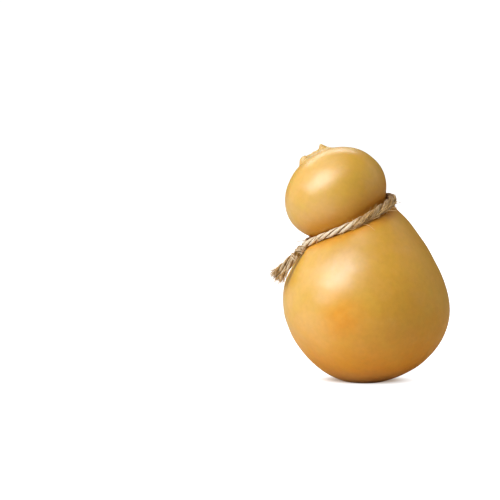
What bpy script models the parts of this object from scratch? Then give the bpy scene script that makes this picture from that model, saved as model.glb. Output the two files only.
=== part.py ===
"""Smoked scamorza: a pear of stretched-curd cheese with a small head, tied with twine at the neck.

Two closed solids, in metres with +Z up and the front facing -Y:

    cheese  the body, the neck, the leaning head and the pinched closure on its crown, all one piece
    twine   the loop round the neck, the knot and its two frayed tails, all one piece

The origin is the middle of the flat spot that the cheese rests on.  The cheese is a stack of round
sections: they follow the body up to its shoulder, pass round the inner side of the twine, and go on
over the head to its pole.  The twine is a three-strand rope: a tube with three lobes that turn as it
runs.
"""

import bmesh
import bpy
import numpy as np
from math import acos, cos, pi, radians, sin

MM = 0.001

# Body: round sections whose centres sway left above the belly, and lean more and more to the left.
BELLY_RADIUS = 35.9 * MM
BELLY_HEIGHT = 30.5 * MM
FOOT_RADIUS = 9.5 * MM          # the flat spot that it rests on
LOW_FULLNESS = 1.72             # 2 makes the underside an ellipse, less makes it straighter
SHOULDER_RADIUS = 19.1 * MM     # what the shoulder would narrow to at the height of the neck
SHOULDER_POWER = 2.1            # 2 makes the shoulder a parabola
SHOULDER_END = 0.93             # the part of the neck's height where the body gives way to the groove
SHOULDER_BULGE = 0.10           # how far it swells beside the twine, as part of the way to it
BELLY_SHIFT = 2.25 * MM         # the belly's middle lies this far right of the flat spot
SHOULDER_SWAY = 10.1 * MM       # how far the sections move left between the two heights below
SWAY_FROM = 0.30
SWAY_TO = 1.08
LEAN_POWER = 2.1                # the lean grows with this power of the height

# Neck: the plane that the twine lies in.
NECK_PLACE = (-5.95 * MM, 0.0, 69.2 * MM)
NECK_LEAN = radians(28.5)       # to the left
NECK_BACK = radians(-1.5)       # to the back: the plane rises a little behind

# Head: a flattened ball whose pole carries the pinched closure.
HEAD_RADIUS = 22.65 * MM
HEAD_HALF_HEIGHT = 19.1 * MM
HEAD_RISE = 13.75 * MM          # from the middle of the neck up to the head's middle
HEAD_LEAN = radians(30.0)
HEAD_BACK = radians(8.0)
HEAD_START = radians(-38.0)     # the head's lowest section, as an angle below its equator
HEAD_TURN = radians(50.0)       # over this much the sections turn from the neck's lean to the head's

# Pinched closure: a blunt lump at the left, a pointed tip at the right and a lip behind them.
CREST_REACH = 8.0 * MM
LUMP_PLACE = (-4.7 * MM, 0.3 * MM)
LUMP_SIZE = (2.1 * MM, 1.9 * MM)
LUMP_RISE = 2.2 * MM
TIP_PLACE = (4.9 * MM, 0.3 * MM)
TIP_SIZE = (1.5 * MM, 1.5 * MM)
TIP_RISE = 3.3 * MM
LIP_SIZE = (4.8 * MM, 3.4 * MM)
LIP_WIDTH = 1.15 * MM
LIP_RISE = 1.8 * MM
LIP_FRONT = 0.2                 # the lip's height in front, as part of that behind
LIP_CRIMP = 0.18                # how far the folds notch it, as part of its height
LIP_FOLDS = 7
FOLD_DEPTH = 0.35 * MM          # the folds that run out from it over the head
DIMPLE_RADIUS = 1.9 * MM
DIMPLE_DEPTH = 0.8 * MM

# Twine, the groove it lies in and the gap between the two.
TWINE_RADIUS = 2.2 * MM         # where it is thickest, across the neck from the knot
WAIST_RADIUS = 17.6 * MM        # the cheese inside the loop
GAP = 0.3 * MM
KNOT_GAP = 0.7 * MM             # beside the knot, which bends faster than the cheese's faces
DENT_SOFTNESS = 0.25 * MM       # rounds the edge of the dents beside the knot
GROOVE_ARC = (radians(-80.0), radians(35.0))
STRANDS = 3
STRAND_RELIEF = 0.12            # how far the strands stand out, as part of the twine's radius
LOOP_TURNS, TAIL_TURNS, WRAP_TURNS = 8, 1, 1    # turns of the strands, in each length of twine

# Knot: the loop comes to a tip at the left front, and two tails leave it there.
KNOT_SIDE = radians(197.0)      # its direction in the neck's plane, from the right by way of the back
KNOT_REACH = 24.2 * MM          # from the middle of the neck to the loop's tip
TIP_ROUNDING = radians(5.0)
LOOP_NARROWING = 0.58           # the loop's thickness at its tip, as part of the greatest
NARROWING_SPAN = radians(180.0)
LOOP_LIFT = 1.3 * MM            # the loop rises a little on its way to the knot, most close to it
LIFT_SPAN = radians(85.0)
REAR_RISE = 1.6 * MM            # and again at the right, where it turns to the back
REAR_RISE_SIDE, REAR_RISE_SPREAD = radians(60.0), radians(45.0)
FRONT_DROP = 0.3 * MM           # before that, at the front right, it hangs a little lower
FRONT_DROP_SIDE, FRONT_DROP_SPREAD = radians(-35.0), radians(40.0)

# Tails, as distances outwards, forwards and above the neck's plane, and a radius.
LOWER_TAIL = (
    (23.8 * MM, 0.3 * MM, 0.1 * MM, 1.0 * MM),
    (25.9 * MM, 1.0 * MM, -0.5 * MM, 1.15 * MM),
    (29.2 * MM, 1.5 * MM, -1.8 * MM, 1.15 * MM),
    (32.9 * MM, 1.2 * MM, -3.3 * MM, 1.2 * MM),
    (36.3 * MM, 0.3 * MM, -4.9 * MM, 1.3 * MM),
    (39.6 * MM, -0.8 * MM, -6.7 * MM, 1.6 * MM),
)
UPPER_TAIL = (
    (23.8 * MM, -0.4 * MM, 0.7 * MM, 1.0 * MM),
    (26.0 * MM, 0.1 * MM, 0.4 * MM, 1.1 * MM),
    (29.6 * MM, 0.5 * MM, -0.6 * MM, 1.15 * MM),
    (33.4 * MM, 0.1 * MM, -1.6 * MM, 1.2 * MM),
    (37.0 * MM, -0.9 * MM, -2.8 * MM, 1.3 * MM),
    (40.4 * MM, -2.1 * MM, -4.2 * MM, 1.6 * MM),
)
TAIL_RAGGEDNESS = 0.8 * MM
WRAP_PLACES = (0.13, 0.24, 0.42)    # how far along the tails the three wraps lie
WRAP_SLANTS = (radians(12.0), radians(12.0), radians(-30.0))
WRAP_WIDTHS = (1.2 * MM, 1.3 * MM, 1.55 * MM)    # half of each wrap's width
WRAP_DEPTH = 0.9 * MM           # half of their depth
WRAP_RADIUS = 0.85 * MM

# Fineness of the meshes.
SIDES = 48
BODY_RINGS, LOWER_JOIN_RINGS, GROOVE_RINGS, UPPER_JOIN_RINGS, HEAD_RINGS = 240, 12, 14, 4, 120
SMOOTHING_PASSES = 8
SHOULDER_START = 200            # the rings are closer together from this one to the neck
CREST_RINGS = 26                # and again in this many last ones, which carry the closure
RING_STEPS = (10, 4, 3, 7, 2)   # of the fine rings one in so many is kept, stretch by stretch
LOOP_STATIONS, LOOP_SIDES = 112, 12
TAIL_STATIONS, TAIL_SIDES = 14, 12
WRAP_STATIONS, WRAP_SIDES = 20, 8

CHEESE_COLOUR = (0.70, 0.36, 0.075, 1.0)
TWINE_COLOUR = (0.52, 0.34, 0.17, 1.0)


def unit(vectors):
    """Vectors brought to length 1."""
    return vectors / np.linalg.norm(vectors, axis=-1, keepdims=True)


def ease(start, end, value):
    """A smooth step from 0 at start to 1 at end."""
    part = np.clip((value - start) / (end - start), 0.0, 1.0)
    return part * part * (3.0 - 2.0 * part)


def section_axes(lean, back):
    """The axis of a section that leans left and back, and the section's right and rear directions."""
    lean = np.asarray(lean, float)
    back = np.asarray(back, float)
    axis = unit(np.stack([-np.sin(lean), np.sin(back) * np.cos(lean), np.cos(lean) * np.cos(back)], -1))
    return (axis,) + across(axis)


def across(axis):
    """The directions across an axis: the one nearest to +X, and the one that completes the frame."""
    right = unit(np.array([1.0, 0.0, 0.0]) - axis[..., :1] * axis)
    return right, np.cross(axis, right)


def rings(angles, centres, radii, right, rear):
    """Circles given by their centres, radii and two directions, as rows of points."""
    turned = (np.cos(angles)[:, None] * right[:, None, :]) + (np.sin(angles)[:, None] * rear[:, None, :])
    return centres[:, None, :] + radii[:, None, None] * turned


def neck_frame():
    """The middle of the neck, its axis, and the right and rear directions in the twine's plane."""
    return (np.array(NECK_PLACE),) + section_axes(NECK_LEAN, NECK_BACK)


def head_frame():
    """The middle of the head, its axis, and the right and rear directions at its equator."""
    place, axis, _, _ = neck_frame()
    return (place + HEAD_RISE * axis,) + section_axes(HEAD_LEAN, HEAD_BACK)


def body_rings(angles):
    """The body from the flat spot to the shoulder.

    Below the belly the radius is R * sqrt(1 - t**p), with t the drop below the belly as a part of the
    drop that would close the form.  Above it the radius narrows with a power of the height.
    """
    even = np.linspace(0.0, 1.0, BODY_RINGS)
    part = SHOULDER_END * (even + 0.5 - 0.5 * np.cos(pi * even)) / 2.0
    height = part * NECK_PLACE[2]
    foot_drop = (1.0 - (FOOT_RADIUS / BELLY_RADIUS) ** 2) ** (1.0 / LOW_FULLNESS)
    drop = foot_drop * np.clip(1.0 - height / BELLY_HEIGHT, 0.0, 1.0)
    climb = np.clip((height - BELLY_HEIGHT) / (NECK_PLACE[2] - BELLY_HEIGHT), 0.0, 1.0)
    radius = BELLY_RADIUS * np.sqrt(1.0 - drop ** LOW_FULLNESS)
    radius -= (BELLY_RADIUS - SHOULDER_RADIUS) * climb ** SHOULDER_POWER
    shift = BELLY_SHIFT * (1.0 - np.clip(1.0 - height / BELLY_HEIGHT, 0.0, 1.0) ** 4)
    shift -= SHOULDER_SWAY * ease(SWAY_FROM, SWAY_TO, part)
    _, right, rear = section_axes(NECK_LEAN * part ** LEAN_POWER, NECK_BACK * part ** 2)
    return rings(angles, np.stack([shift, 0.0 * shift, height], -1), radius, right, rear)


def twine_form(direction):
    """The twine in a direction round the neck: its radius, its height above the neck's plane, and
    the angle from the knot."""
    from_knot = np.abs((direction - KNOT_SIDE + pi) % (2.0 * pi) - pi)
    from_rise = (direction - REAR_RISE_SIDE + pi) % (2.0 * pi) - pi
    from_drop = (direction - FRONT_DROP_SIDE + pi) % (2.0 * pi) - pi
    radius = TWINE_RADIUS * (LOOP_NARROWING + (1.0 - LOOP_NARROWING) * ease(0.0, NARROWING_SPAN, from_knot))
    near_knot = np.clip(np.hypot(from_knot, TIP_ROUNDING) / LIFT_SPAN, 0.0, 1.0)
    lift = LOOP_LIFT * np.sin(pi * np.sqrt(near_knot))
    lift += REAR_RISE * np.exp(-(from_rise / REAR_RISE_SPREAD) ** 2)
    lift -= FRONT_DROP * np.exp(-(from_drop / FRONT_DROP_SPREAD) ** 2)
    return radius, lift, from_knot


def groove_rings(angles):
    """The neck: the inner side of a ring-shaped channel that holds the twine."""
    place, axis, right, rear = neck_frame()
    radius, lift, _ = twine_form(angles)
    turn = np.linspace(*GROOVE_ARC, GROOVE_RINGS)[:, None]
    reach = WAIST_RADIUS + (radius + GAP) * (1.0 - np.cos(turn))
    height = lift + (radius + GAP) * np.sin(turn)
    outwards = np.cos(angles)[:, None] * right + np.sin(angles)[:, None] * rear
    return place + reach[..., None] * outwards + height[..., None] * axis


def head_rings(angles):
    """The head: sections of a flattened ball, the lowest still turned the way the neck is."""
    _, neck_axis, _, _ = neck_frame()
    middle, head_axis, _, _ = head_frame()
    rise = np.linspace(HEAD_START, pi / 2.0, HEAD_RINGS)
    share = ease(HEAD_START, HEAD_START + HEAD_TURN, rise)[:, None]
    axis = unit(neck_axis + (head_axis - neck_axis) * share)
    centres = middle + HEAD_HALF_HEIGHT * np.sin(rise)[:, None] * axis
    return rings(angles, centres, HEAD_RADIUS * np.cos(rise), *across(axis))


def between(first, last, count, bulge=0.0):
    """Rings that lead from one ring to another, both left out, raised in between along the neck."""
    _, axis, _, _ = neck_frame()
    share = np.linspace(0.0, 1.0, count + 2)[1:-1, None, None]
    span = np.linalg.norm(last - first, axis=-1, keepdims=True)
    return first + (last - first) * share + bulge * span * np.sin(pi * share) * axis


def crest_height(right, rear):
    """How far the pinched closure stands out, from the distance right of the pole and behind it."""
    lump = np.hypot((right - LUMP_PLACE[0]) / LUMP_SIZE[0], (rear - LUMP_PLACE[1]) / LUMP_SIZE[1])
    tip = np.hypot((right - TIP_PLACE[0]) / TIP_SIZE[0], (rear - TIP_PLACE[1]) / TIP_SIZE[1])
    away = np.hypot(right, rear)
    bearing = np.arctan2(rear, right)
    beside = (np.hypot(right / LIP_SIZE[0], rear / LIP_SIZE[1]) - 1.0) * LIP_SIZE[1]
    behind = LIP_FRONT + (1.0 - LIP_FRONT) * ease(-0.5, 0.5, np.sin(bearing))
    folded = 1.0 - LIP_CRIMP * np.cos(LIP_FOLDS * bearing)
    lip = LIP_RISE * behind * folded * np.exp(-(beside / LIP_WIDTH) ** 2)
    mounds = (LUMP_RISE * np.exp(-lump ** 4)) ** 3 + (TIP_RISE * np.exp(-tip ** 1.4)) ** 3 + lip ** 3
    skirt = np.exp(-((away - 0.75 * CREST_REACH) / (0.25 * CREST_REACH)) ** 2)
    folds = FOLD_DEPTH * behind * skirt * np.cos(LIP_FOLDS * bearing + 1.0)
    dimple = DIMPLE_DEPTH * np.exp(-(away / DIMPLE_RADIUS) ** 2)
    return np.cbrt(mounds) + folds - dimple


def add_crest(points):
    """Raise the points round the head's pole along its axis, by the height of the closure there."""
    middle, axis, right, rear = head_frame()
    offset = points - middle
    above = ease(0.6 * HEAD_HALF_HEIGHT, 0.8 * HEAD_HALF_HEIGHT, offset @ axis)
    return points + (above * crest_height(offset @ right, offset @ rear))[..., None] * axis


def press_in(points, path, radii, gap):
    """Push points that lie too close to the twine away from it, with a soft edge to the dent."""
    for place, radius in zip(path, radii):
        offset = points - place
        distance = np.linalg.norm(offset, axis=-1)
        least = radius + gap
        pushed = 0.5 * (distance + least + np.sqrt((distance - least) ** 2 + DENT_SOFTNESS ** 2))
        fade = ease(least + 2.0 * DENT_SOFTNESS, least, distance)
        points = points + offset * ((pushed / distance - 1.0) * fade)[..., None]
    return points


def cheese_rings(angles):
    """All the fine rings of the cheese, from the flat spot to the pole."""
    body, groove, head = body_rings(angles), groove_rings(angles), head_rings(angles)
    lower_join = between(body[-1], groove[0], LOWER_JOIN_RINGS, SHOULDER_BULGE)
    upper_join = between(groove[-1], head[0], UPPER_JOIN_RINGS)
    points = np.concatenate([body, lower_join, groove, upper_join, head])
    for _ in range(SMOOTHING_PASSES):
        points[1:-1] = (points[:-2] + 2.0 * points[1:-1] + points[2:]) / 4.0
    return add_crest(points)


def make_cheese():
    """The cheese as one closed mesh: kept rings joined by quads, a flat foot and a pole."""
    angles = np.linspace(0.0, 2.0 * pi, SIDES, endpoint=False)
    fine = cheese_rings(angles)
    last = len(fine) - 1
    ends = (0, SHOULDER_START, BODY_RINGS, last + 1 - HEAD_RINGS, last - CREST_RINGS, last)
    spans = zip(ends[:-1], ends[1:])
    kept = sorted({number for span, step in zip(spans, RING_STEPS) for number in range(*span, step)})
    points = fine[kept]
    points = press_in(points, *loop_path(), GAP)
    for path, radii in (*tail_paths(), *wrap_paths()):
        points = press_in(points, path, radii, KNOT_GAP)
    points[0, :, 2] = 0.0
    vertices = [tuple(point) for point in points.reshape(-1, 3)]
    foot, pole = len(vertices), len(vertices) + 1
    vertices += [(0.0, 0.0, 0.0), tuple(fine[last, 0])]
    faces = tube_faces(len(kept), SIDES)
    top = (len(kept) - 1) * SIDES
    for side in range(SIDES):
        beside = (side + 1) % SIDES
        faces.append((foot, beside, side))
        faces.append((pole, top + side, top + beside))
    return add_mesh("cheese", vertices, faces)


def tube_faces(stations, sides, closed=False):
    """Quads between the neighbouring rings of a tube, running on to the first ring if closed."""
    faces = []
    for ring in range(stations if closed else stations - 1):
        here, there = ring * sides, (ring + 1) % stations * sides
        for side in range(sides):
            beside = (side + 1) % sides
            faces.append((here + side, here + beside, there + beside, there + side))
    return faces


def loop_path():
    """The loop's middle line and its radius: a circle drawn out to a tip where the knot is."""
    place, axis, right, rear = neck_frame()
    direction = KNOT_SIDE + np.linspace(0.0, 2.0 * pi, LOOP_STATIONS, endpoint=False)
    radii, lift, from_knot = twine_form(direction)
    ring_radii = WAIST_RADIUS + GAP + radii
    parting = acos(ring_radii[0] / KNOT_REACH)
    reach = ring_radii / np.cos(np.maximum(0.0, parting - np.hypot(from_knot, TIP_ROUNDING)))
    path = (place + (reach * np.cos(direction))[:, None] * right
            + (reach * np.sin(direction))[:, None] * rear + lift[:, None] * axis)
    return path, radii


def smooth_through(points, count):
    """Rows of a Catmull-Rom curve through the given rows."""
    rows = np.array(points)
    rows = np.vstack([2.0 * rows[0] - rows[1], rows, 2.0 * rows[-1] - rows[-2]])
    where = np.linspace(0.0, len(points) - 1.0, count)
    start = np.minimum(where.astype(int), len(points) - 2)
    part = (where - start)[:, None]
    before, here, there, after = (rows[start + step] for step in range(4))
    slope, end_slope = (there - before) / 2.0, (after - here) / 2.0
    bend = 3.0 * (there - here) - 2.0 * slope - end_slope
    twist = 2.0 * (here - there) + slope + end_slope
    return here + part * (slope + part * (bend + part * twist))


def tail_path(stops, count=TAIL_STATIONS):
    """A tail's middle line and radius, from stops given outwards, forwards and upwards."""
    place, axis, right, rear = neck_frame()
    outwards = cos(KNOT_SIDE) * right + sin(KNOT_SIDE) * rear
    forwards = -sin(KNOT_SIDE) * right + cos(KNOT_SIDE) * rear
    rows = smooth_through(stops, count)
    path = place + rows[:, :1] * outwards + rows[:, 1:2] * forwards + rows[:, 2:3] * axis
    return path, rows[:, 3]


def carried_frames(path, closed=False):
    """Directions along and across a path, each frame turned from the last as little as it can be."""
    if closed:
        along = unit(np.roll(path, -1, 0) - np.roll(path, 1, 0))
    else:
        along = unit(np.gradient(path, axis=0))
    first = np.cross(along[0], (0.0, 1.0, 0.0))
    normals = [unit(first)]
    for direction in along[1:]:
        previous = normals[-1]
        normals.append(unit(previous - (previous @ direction) * direction))
    normals = np.array(normals)
    if closed:
        end = normals[-1] - (normals[-1] @ along[0]) * along[0]
        binormal = np.cross(along[0], normals[0])
        slip = np.arctan2(end @ binormal, end @ normals[0])
        spread = -slip * np.arange(len(path)) / len(path)
        sideways = np.cross(along, normals)
        normals = np.cos(spread)[:, None] * normals + np.sin(spread)[:, None] * sideways
    return along, normals, np.cross(along, normals)


def rope(name, path, radii, sides, turns, closed=False, raggedness=0.0):
    """A rope: a tube whose section has one lobe for each strand, turning left-handed as it runs."""
    along, normal, sideways = carried_frames(path, closed)
    stations = len(path)
    progress = np.arange(stations) / (stations if closed else stations - 1)
    angles = np.linspace(0.0, 2.0 * pi, sides, endpoint=False)
    twist = 2.0 * pi * turns * progress
    lobes = np.cos(STRANDS * (angles[None, :] + twist[:, None]))
    radius = radii[:, None] * (1.0 - STRAND_RELIEF + STRAND_RELIEF * lobes)
    points = (path[:, None, :] + radius[..., None] * (np.cos(angles)[None, :, None] * normal[:, None, :]
              + np.sin(angles)[None, :, None] * sideways[:, None, :]))
    points[-1] += raggedness * np.cos(STRANDS * angles + 1.0)[:, None] * along[-1]
    faces = tube_faces(stations, sides, closed)
    vertices = [tuple(point) for point in points.reshape(-1, 3)]
    if not closed:
        start, end = len(vertices), len(vertices) + 1
        vertices += [tuple(path[0]), tuple(path[-1] - 0.5 * raggedness * along[-1])]
        last = (stations - 1) * sides
        for side in range(sides):
            beside = (side + 1) % sides
            faces.append((start, beside, side))
            faces.append((end, last + side, last + beside))
    return add_mesh(name, vertices, faces)


def tail_paths():
    """The middle lines and radii of both tails."""
    return [tail_path(stops) for stops in (LOWER_TAIL, UPPER_TAIL)]


def wrap_paths():
    """The wraps of the knot: ellipses round both tails, slanted to them, at places along them."""
    fine = 40
    (lower, _), (upper, _) = tail_path(LOWER_TAIL, fine + 1), tail_path(UPPER_TAIL, fine + 1)
    turn = np.linspace(0.0, 2.0 * pi, WRAP_STATIONS, endpoint=False)[:, None]
    wraps = []
    for place, slant, half_width in zip(WRAP_PLACES, WRAP_SLANTS, WRAP_WIDTHS):
        station = round(place * fine)
        middle = (lower[station] + upper[station]) / 2.0
        along = unit((lower + upper)[station + 1] - (lower + upper)[station - 1])
        wide = upper[station] - lower[station]
        wide = unit(wide - (wide @ along) * along)
        tilted = cos(slant) * wide + sin(slant) * along
        deep = np.cross(along, wide)
        path = middle + half_width * np.cos(turn) * tilted + WRAP_DEPTH * np.sin(turn) * deep
        wraps.append((path, np.full(WRAP_STATIONS, WRAP_RADIUS)))
    return wraps


def make_twine():
    """The loop, the tails and the wraps, fused into one solid."""
    loop = rope("twine", *loop_path(), LOOP_SIDES, LOOP_TURNS, closed=True)
    pieces = [rope("tail", *tail, TAIL_SIDES, TAIL_TURNS, raggedness=TAIL_RAGGEDNESS)
              for tail in tail_paths()]
    pieces += [rope("wrap", *wrap, WRAP_SIDES, WRAP_TURNS, closed=True) for wrap in wrap_paths()]
    return fuse(loop, pieces)


def fuse(main, others):
    """Join pieces to the main one with a Boolean union, and remove them."""
    group = bpy.data.collections.new("fused")
    for piece in others:
        group.objects.link(piece)
    union = main.modifiers.new("union", "BOOLEAN")
    union.operation = "UNION"
    union.operand_type = "COLLECTION"
    union.collection = group
    union.solver = "EXACT"
    bpy.context.view_layer.update()
    evaluated = main.evaluated_get(bpy.context.evaluated_depsgraph_get())
    joined = bpy.data.meshes.new_from_object(evaluated)
    main.modifiers.clear()
    main.data = joined
    for piece in others:
        bpy.data.objects.remove(piece)
    bpy.data.collections.remove(group)
    return main


def add_mesh(name, vertices, faces):
    """A new object from vertices and faces, with its faces turned outwards."""
    mesh = bpy.data.meshes.new(name)
    mesh.from_pydata(vertices, [], faces)
    shape = bmesh.new()
    shape.from_mesh(mesh)
    bmesh.ops.triangulate(shape, faces=shape.faces)
    bmesh.ops.recalc_face_normals(shape, faces=shape.faces)
    shape.to_mesh(mesh)
    shape.free()
    item = bpy.data.objects.new(name, mesh)
    bpy.context.scene.collection.objects.link(item)
    return item


def add_material(item, colour, roughness):
    """A plain material of one colour on an object, with its faces shaded smooth."""
    material = bpy.data.materials.new(item.name)
    material.use_nodes = True
    shader = material.node_tree.nodes["Principled BSDF"]
    shader.inputs["Base Color"].default_value = colour
    shader.inputs["Roughness"].default_value = roughness
    shader.inputs["Metallic"].default_value = 0.0
    item.data.materials.clear()
    item.data.materials.append(material)
    item.data.shade_smooth()


def main():
    for item in list(bpy.data.objects):
        bpy.data.objects.remove(item)
    add_material(make_cheese(), CHEESE_COLOUR, roughness=0.38)
    add_material(make_twine(), TWINE_COLOUR, roughness=0.9)


main()
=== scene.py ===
"""Smoked scamorza: the finished looks, laid out as a Blender add-on and run as a script.

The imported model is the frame.  The cheese and its twine are made again as fine surfaces from the same
sizes, with their own finishes, and stand for the frame's nodes.  Lengths are in metres, +Z is up, the
front faces -Y and +X is to the right.
"""

from math import acos, atan, cos, pi, radians, sin

import bpy
import numpy as np
from bpy.props import FloatProperty, FloatVectorProperty, IntProperty, PointerProperty
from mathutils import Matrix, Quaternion, Vector


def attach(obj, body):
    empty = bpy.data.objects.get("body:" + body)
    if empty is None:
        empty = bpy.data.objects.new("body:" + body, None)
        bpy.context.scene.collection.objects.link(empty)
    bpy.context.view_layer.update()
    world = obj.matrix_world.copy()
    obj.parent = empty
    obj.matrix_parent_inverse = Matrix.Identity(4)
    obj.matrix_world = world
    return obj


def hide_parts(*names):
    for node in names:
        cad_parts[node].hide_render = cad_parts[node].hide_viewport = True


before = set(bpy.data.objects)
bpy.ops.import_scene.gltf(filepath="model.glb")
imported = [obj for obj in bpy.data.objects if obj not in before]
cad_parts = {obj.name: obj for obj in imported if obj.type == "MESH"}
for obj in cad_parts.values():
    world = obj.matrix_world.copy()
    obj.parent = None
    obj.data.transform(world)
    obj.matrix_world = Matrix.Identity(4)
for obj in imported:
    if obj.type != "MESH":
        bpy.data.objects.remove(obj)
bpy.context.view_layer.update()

bl_info = {
    "name": "Smoked scamorza",
    "version": (1, 0, 0),
    "blender": (4, 5, 0),
    "location": "3D View > Sidebar > Scamorza",
    "description": "A pear-shaped smoked cheese tied round the neck with twine",
    "category": "Object",
}

MM = 0.001

# Body: round sections whose centres sway left above the belly, and lean more and more to the left.
FOOT_RADIUS = 9.5 * MM
LOW_FULLNESS = 1.72
SHOULDER_RADIUS = 19.1 * MM
SHOULDER_POWER = 2.1
SHOULDER_END = 0.93
SHOULDER_BULGE = 0.10
BELLY_SHIFT = 2.25 * MM
SHOULDER_SWAY = 10.1 * MM
SWAY_FROM, SWAY_TO = 0.30, 1.08
LEAN_POWER = 2.1
BODY_SMOOTHING, JOIN_SMOOTHING = 120, 8  # passes over the body alone, then over the whole cheese
THINNED_ROWS = 160  # of the lowest rows, of which every other one is kept
LOWER_JOIN_ROWS, UPPER_JOIN_ROWS = 12, 4  # that lead into the groove and out of it
PRESS_POINTS = 40  # along each path of the knot that is pressed in

# Neck and head.
NECK_PLACE = (-5.95 * MM, 0.0, 69.2 * MM)
NECK_LEAN, NECK_BACK = radians(28.5), radians(-1.5)
HEAD_RISE = 13.75 * MM
HEAD_LEAN, HEAD_BACK = radians(30.0), radians(8.0)
HEAD_START, HEAD_TURN = radians(-38.0), radians(50.0)

# Pinched closure: a blunt lump at the left, a pointed tip at the right and a lip behind them.
LUMP_PLACE, LUMP_SIZE = (-4.8 * MM, 0.3 * MM), (2.45 * MM, 2.0 * MM)
TIP_PLACE, TIP_SIZE = (4.9 * MM, 0.3 * MM), (2.0 * MM, 1.7 * MM)
LIP_SIZE, LIP_WIDTH, LIP_RISE = (4.8 * MM, 3.4 * MM), 1.15 * MM, 1.8 * MM
LIP_FRONT, LIP_CRIMP, LIP_FOLDS = 0.2, 0.06, 7
FOLD_DEPTH, FOLD_REACH = 0.15 * MM, 8.0 * MM
DIMPLE_RADIUS, DIMPLE_DEPTH = 1.9 * MM, 0.8 * MM

# Groove, loop and knot.
GAP = 0.3 * MM
PRESSED_GAP = 0.05 * MM  # left between the cheese and the knot that is pulled against it
DENT_SOFTNESS = 0.25 * MM
DENT_DEPTH = 0.14 * MM  # of the faint unevenness all over the cheese
FLAT_PLACE = (-17.5 * MM, -21.0 * MM, 86.5 * MM)
FLAT_DEPTH, FLAT_REACH = 0.9 * MM, 12.5 * MM  # of the flatter spot on the front of the head
FLAT_NARROWING = 0.7  # how much narrower the spot is towards the upper right
GROOVE_ARC = (radians(-80.0), radians(35.0))
KNOT_SIDE = radians(197.0)
KNOT_REACH = 24.2 * MM
TIP_ROUNDING = radians(5.0)
LOOP_NARROWING, NARROWING_SPAN = 0.58, radians(180.0)
LOOP_LIFT, LIFT_SPAN = 1.3 * MM, radians(85.0)
REAR_RISE, REAR_RISE_SIDE, REAR_RISE_SPREAD = 1.6 * MM, radians(60.0), radians(45.0)
FRONT_DROP, FRONT_DROP_SIDE, FRONT_DROP_SPREAD = 0.3 * MM, radians(-35.0), radians(40.0)

# Tails, in millimetres: distances outwards, forwards and above the neck's plane, and a radius.
LOWER_TAIL = (
    (23.8, 0.3, 0.1, 1.0),
    (25.9, 1.0, -0.5, 1.15),
    (29.2, 1.5, -1.8, 1.15),
    (32.9, 1.2, -3.3, 1.2),
    (36.3, 0.3, -4.9, 1.3),
    (39.6, -0.8, -6.7, 1.6),
)
UPPER_TAIL = (
    (23.8, -0.4, 0.7, 1.0),
    (26.0, 0.1, 0.4, 1.1),
    (29.6, 0.5, -0.6, 1.15),
    (33.4, 0.1, -1.6, 1.2),
    (37.0, -0.9, -2.8, 1.3),
    (40.4, -2.1, -4.2, 1.6),
)
WRAP_PLACES = (0.13, 0.24, 0.42)
WRAP_SLANTS = (radians(12.0), radians(12.0), radians(-30.0))
WRAP_WIDTHS = (1.2 * MM, 1.3 * MM, 1.55 * MM)
WRAP_DEPTH, WRAP_RADIUS = 0.9 * MM, 0.85 * MM

# Lay of the twine: strands turn one way round the twine, and their fibres the other way round them.
LOOP_TURNS, TAIL_TURNS, WRAP_TURNS = 7, 1.1, 1
LOOP_POINTS, TAIL_POINTS, WRAP_POINTS = 620, 110, 120  # along the loop, a tail and a wrap
LOOP_SIDES, TAIL_SIDES, WRAP_SIDES = 36, 32, 28  # round one strand of them
FORWARDS = np.array([0.0, -1.0, 0.0])
STRAND_VALUES = ("lengthwise", "roundwise", "depth", "stain_and_shade")  # that each point holds
STRAND_SLOPE = 0.6  # how steeply the strands' outer sides run round the loop
FIBRE_LAY = 21.0 * MM
STRAND_SHARE = 0.49  # a strand's radius, as part of the twine's
STRAND_WIDENING = 1.08  # how much wider it is than deep
SLUBS, COARSE_RIDGES, FINE_RIDGES = 0.06, 0.05, 0.035  # their heights, as parts of a strand's radius
STRAND_OFFSET = 0.52  # its middle's distance from the twine's, as part of the twine's radius
# Where along them, and how much, the tails are pinched between the wraps, and darkened there by painted
# shadow.
PINCH_PLACE, PINCH_LENGTH, PINCH_DEPTH = 0.325, 0.035, 0.35
# Stain and painted shade brown the loop from the front round the right side to the back.
STAIN_AND_SHADE_RISE, FADING = (0.19, 0.26), (0.8, 0.95)  # parts of the loop over which it browns, then fades again

# Hairs: how many each set on the loop has, how far they stray, and their largest radius; then how many
# each tail has, and the points along and round a hair.
LOOP_HAIRS = ((300, 0.35, 0.12 * MM), (120, 0.8, 0.17 * MM), (60, 0.7, 0.25 * MM))
TAIL_HAIRS = 130
HAIR_STATIONS, HAIR_SIDES = 7, 4
HAIR_POINTS = HAIR_STATIONS * HAIR_SIDES
LOOP_ROOTS, TAIL_ROOTS, FRAYED_ROOTS = 900, 60, (40, 58)  # places where they can grow

# Spots on the skin, some of them painted shade, and the floor's own glow, in millimetres: a middle and a
# reach.
ORANGE_PATCH = (-9.1, -34.3, 32.5), 15.0
# The next two are painted shade: on the shoulder under the twine, and on the right flank.
PAINTED_SHOULDER_SHADE = (-8.0, -25.0, 58.0), 17.0
PAINTED_FLANK_SHADE = (18.0, -31.0, 35.0), 18.0
SHADED_BELLY = (3.0, -35.0, 27.0), 26.0
DULL_SHOULDER = (-8.0, -22.0, 62.0), 15.0
DULL_HEAD = (5.0, -6.0, 92.0), 20.0
CLOSURE_REACH = 11.0
GLOW_SPOT = (-60.0, -70.0, 0.0), 160.0

# Floor, and the painted shadow on it, which is longer sideways than forwards.
FLOOR_SIDES, FLOOR_RADIUS, FLOOR_GREY = 96, 6.0, (0.48, 0.48, 0.48, 1.0)
SHADOW_SQUEEZE, SHADOW_REACH = (0.78, 1.3, 1.0), (6.0 * MM, 20.0 * MM)
SHADOW_TINT, GLOW_REACH = (1.0, 0.72, 0.5), (13.0 * MM, 58.0 * MM)
SEEN_WHITE = 1.05  # a little over white

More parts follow.
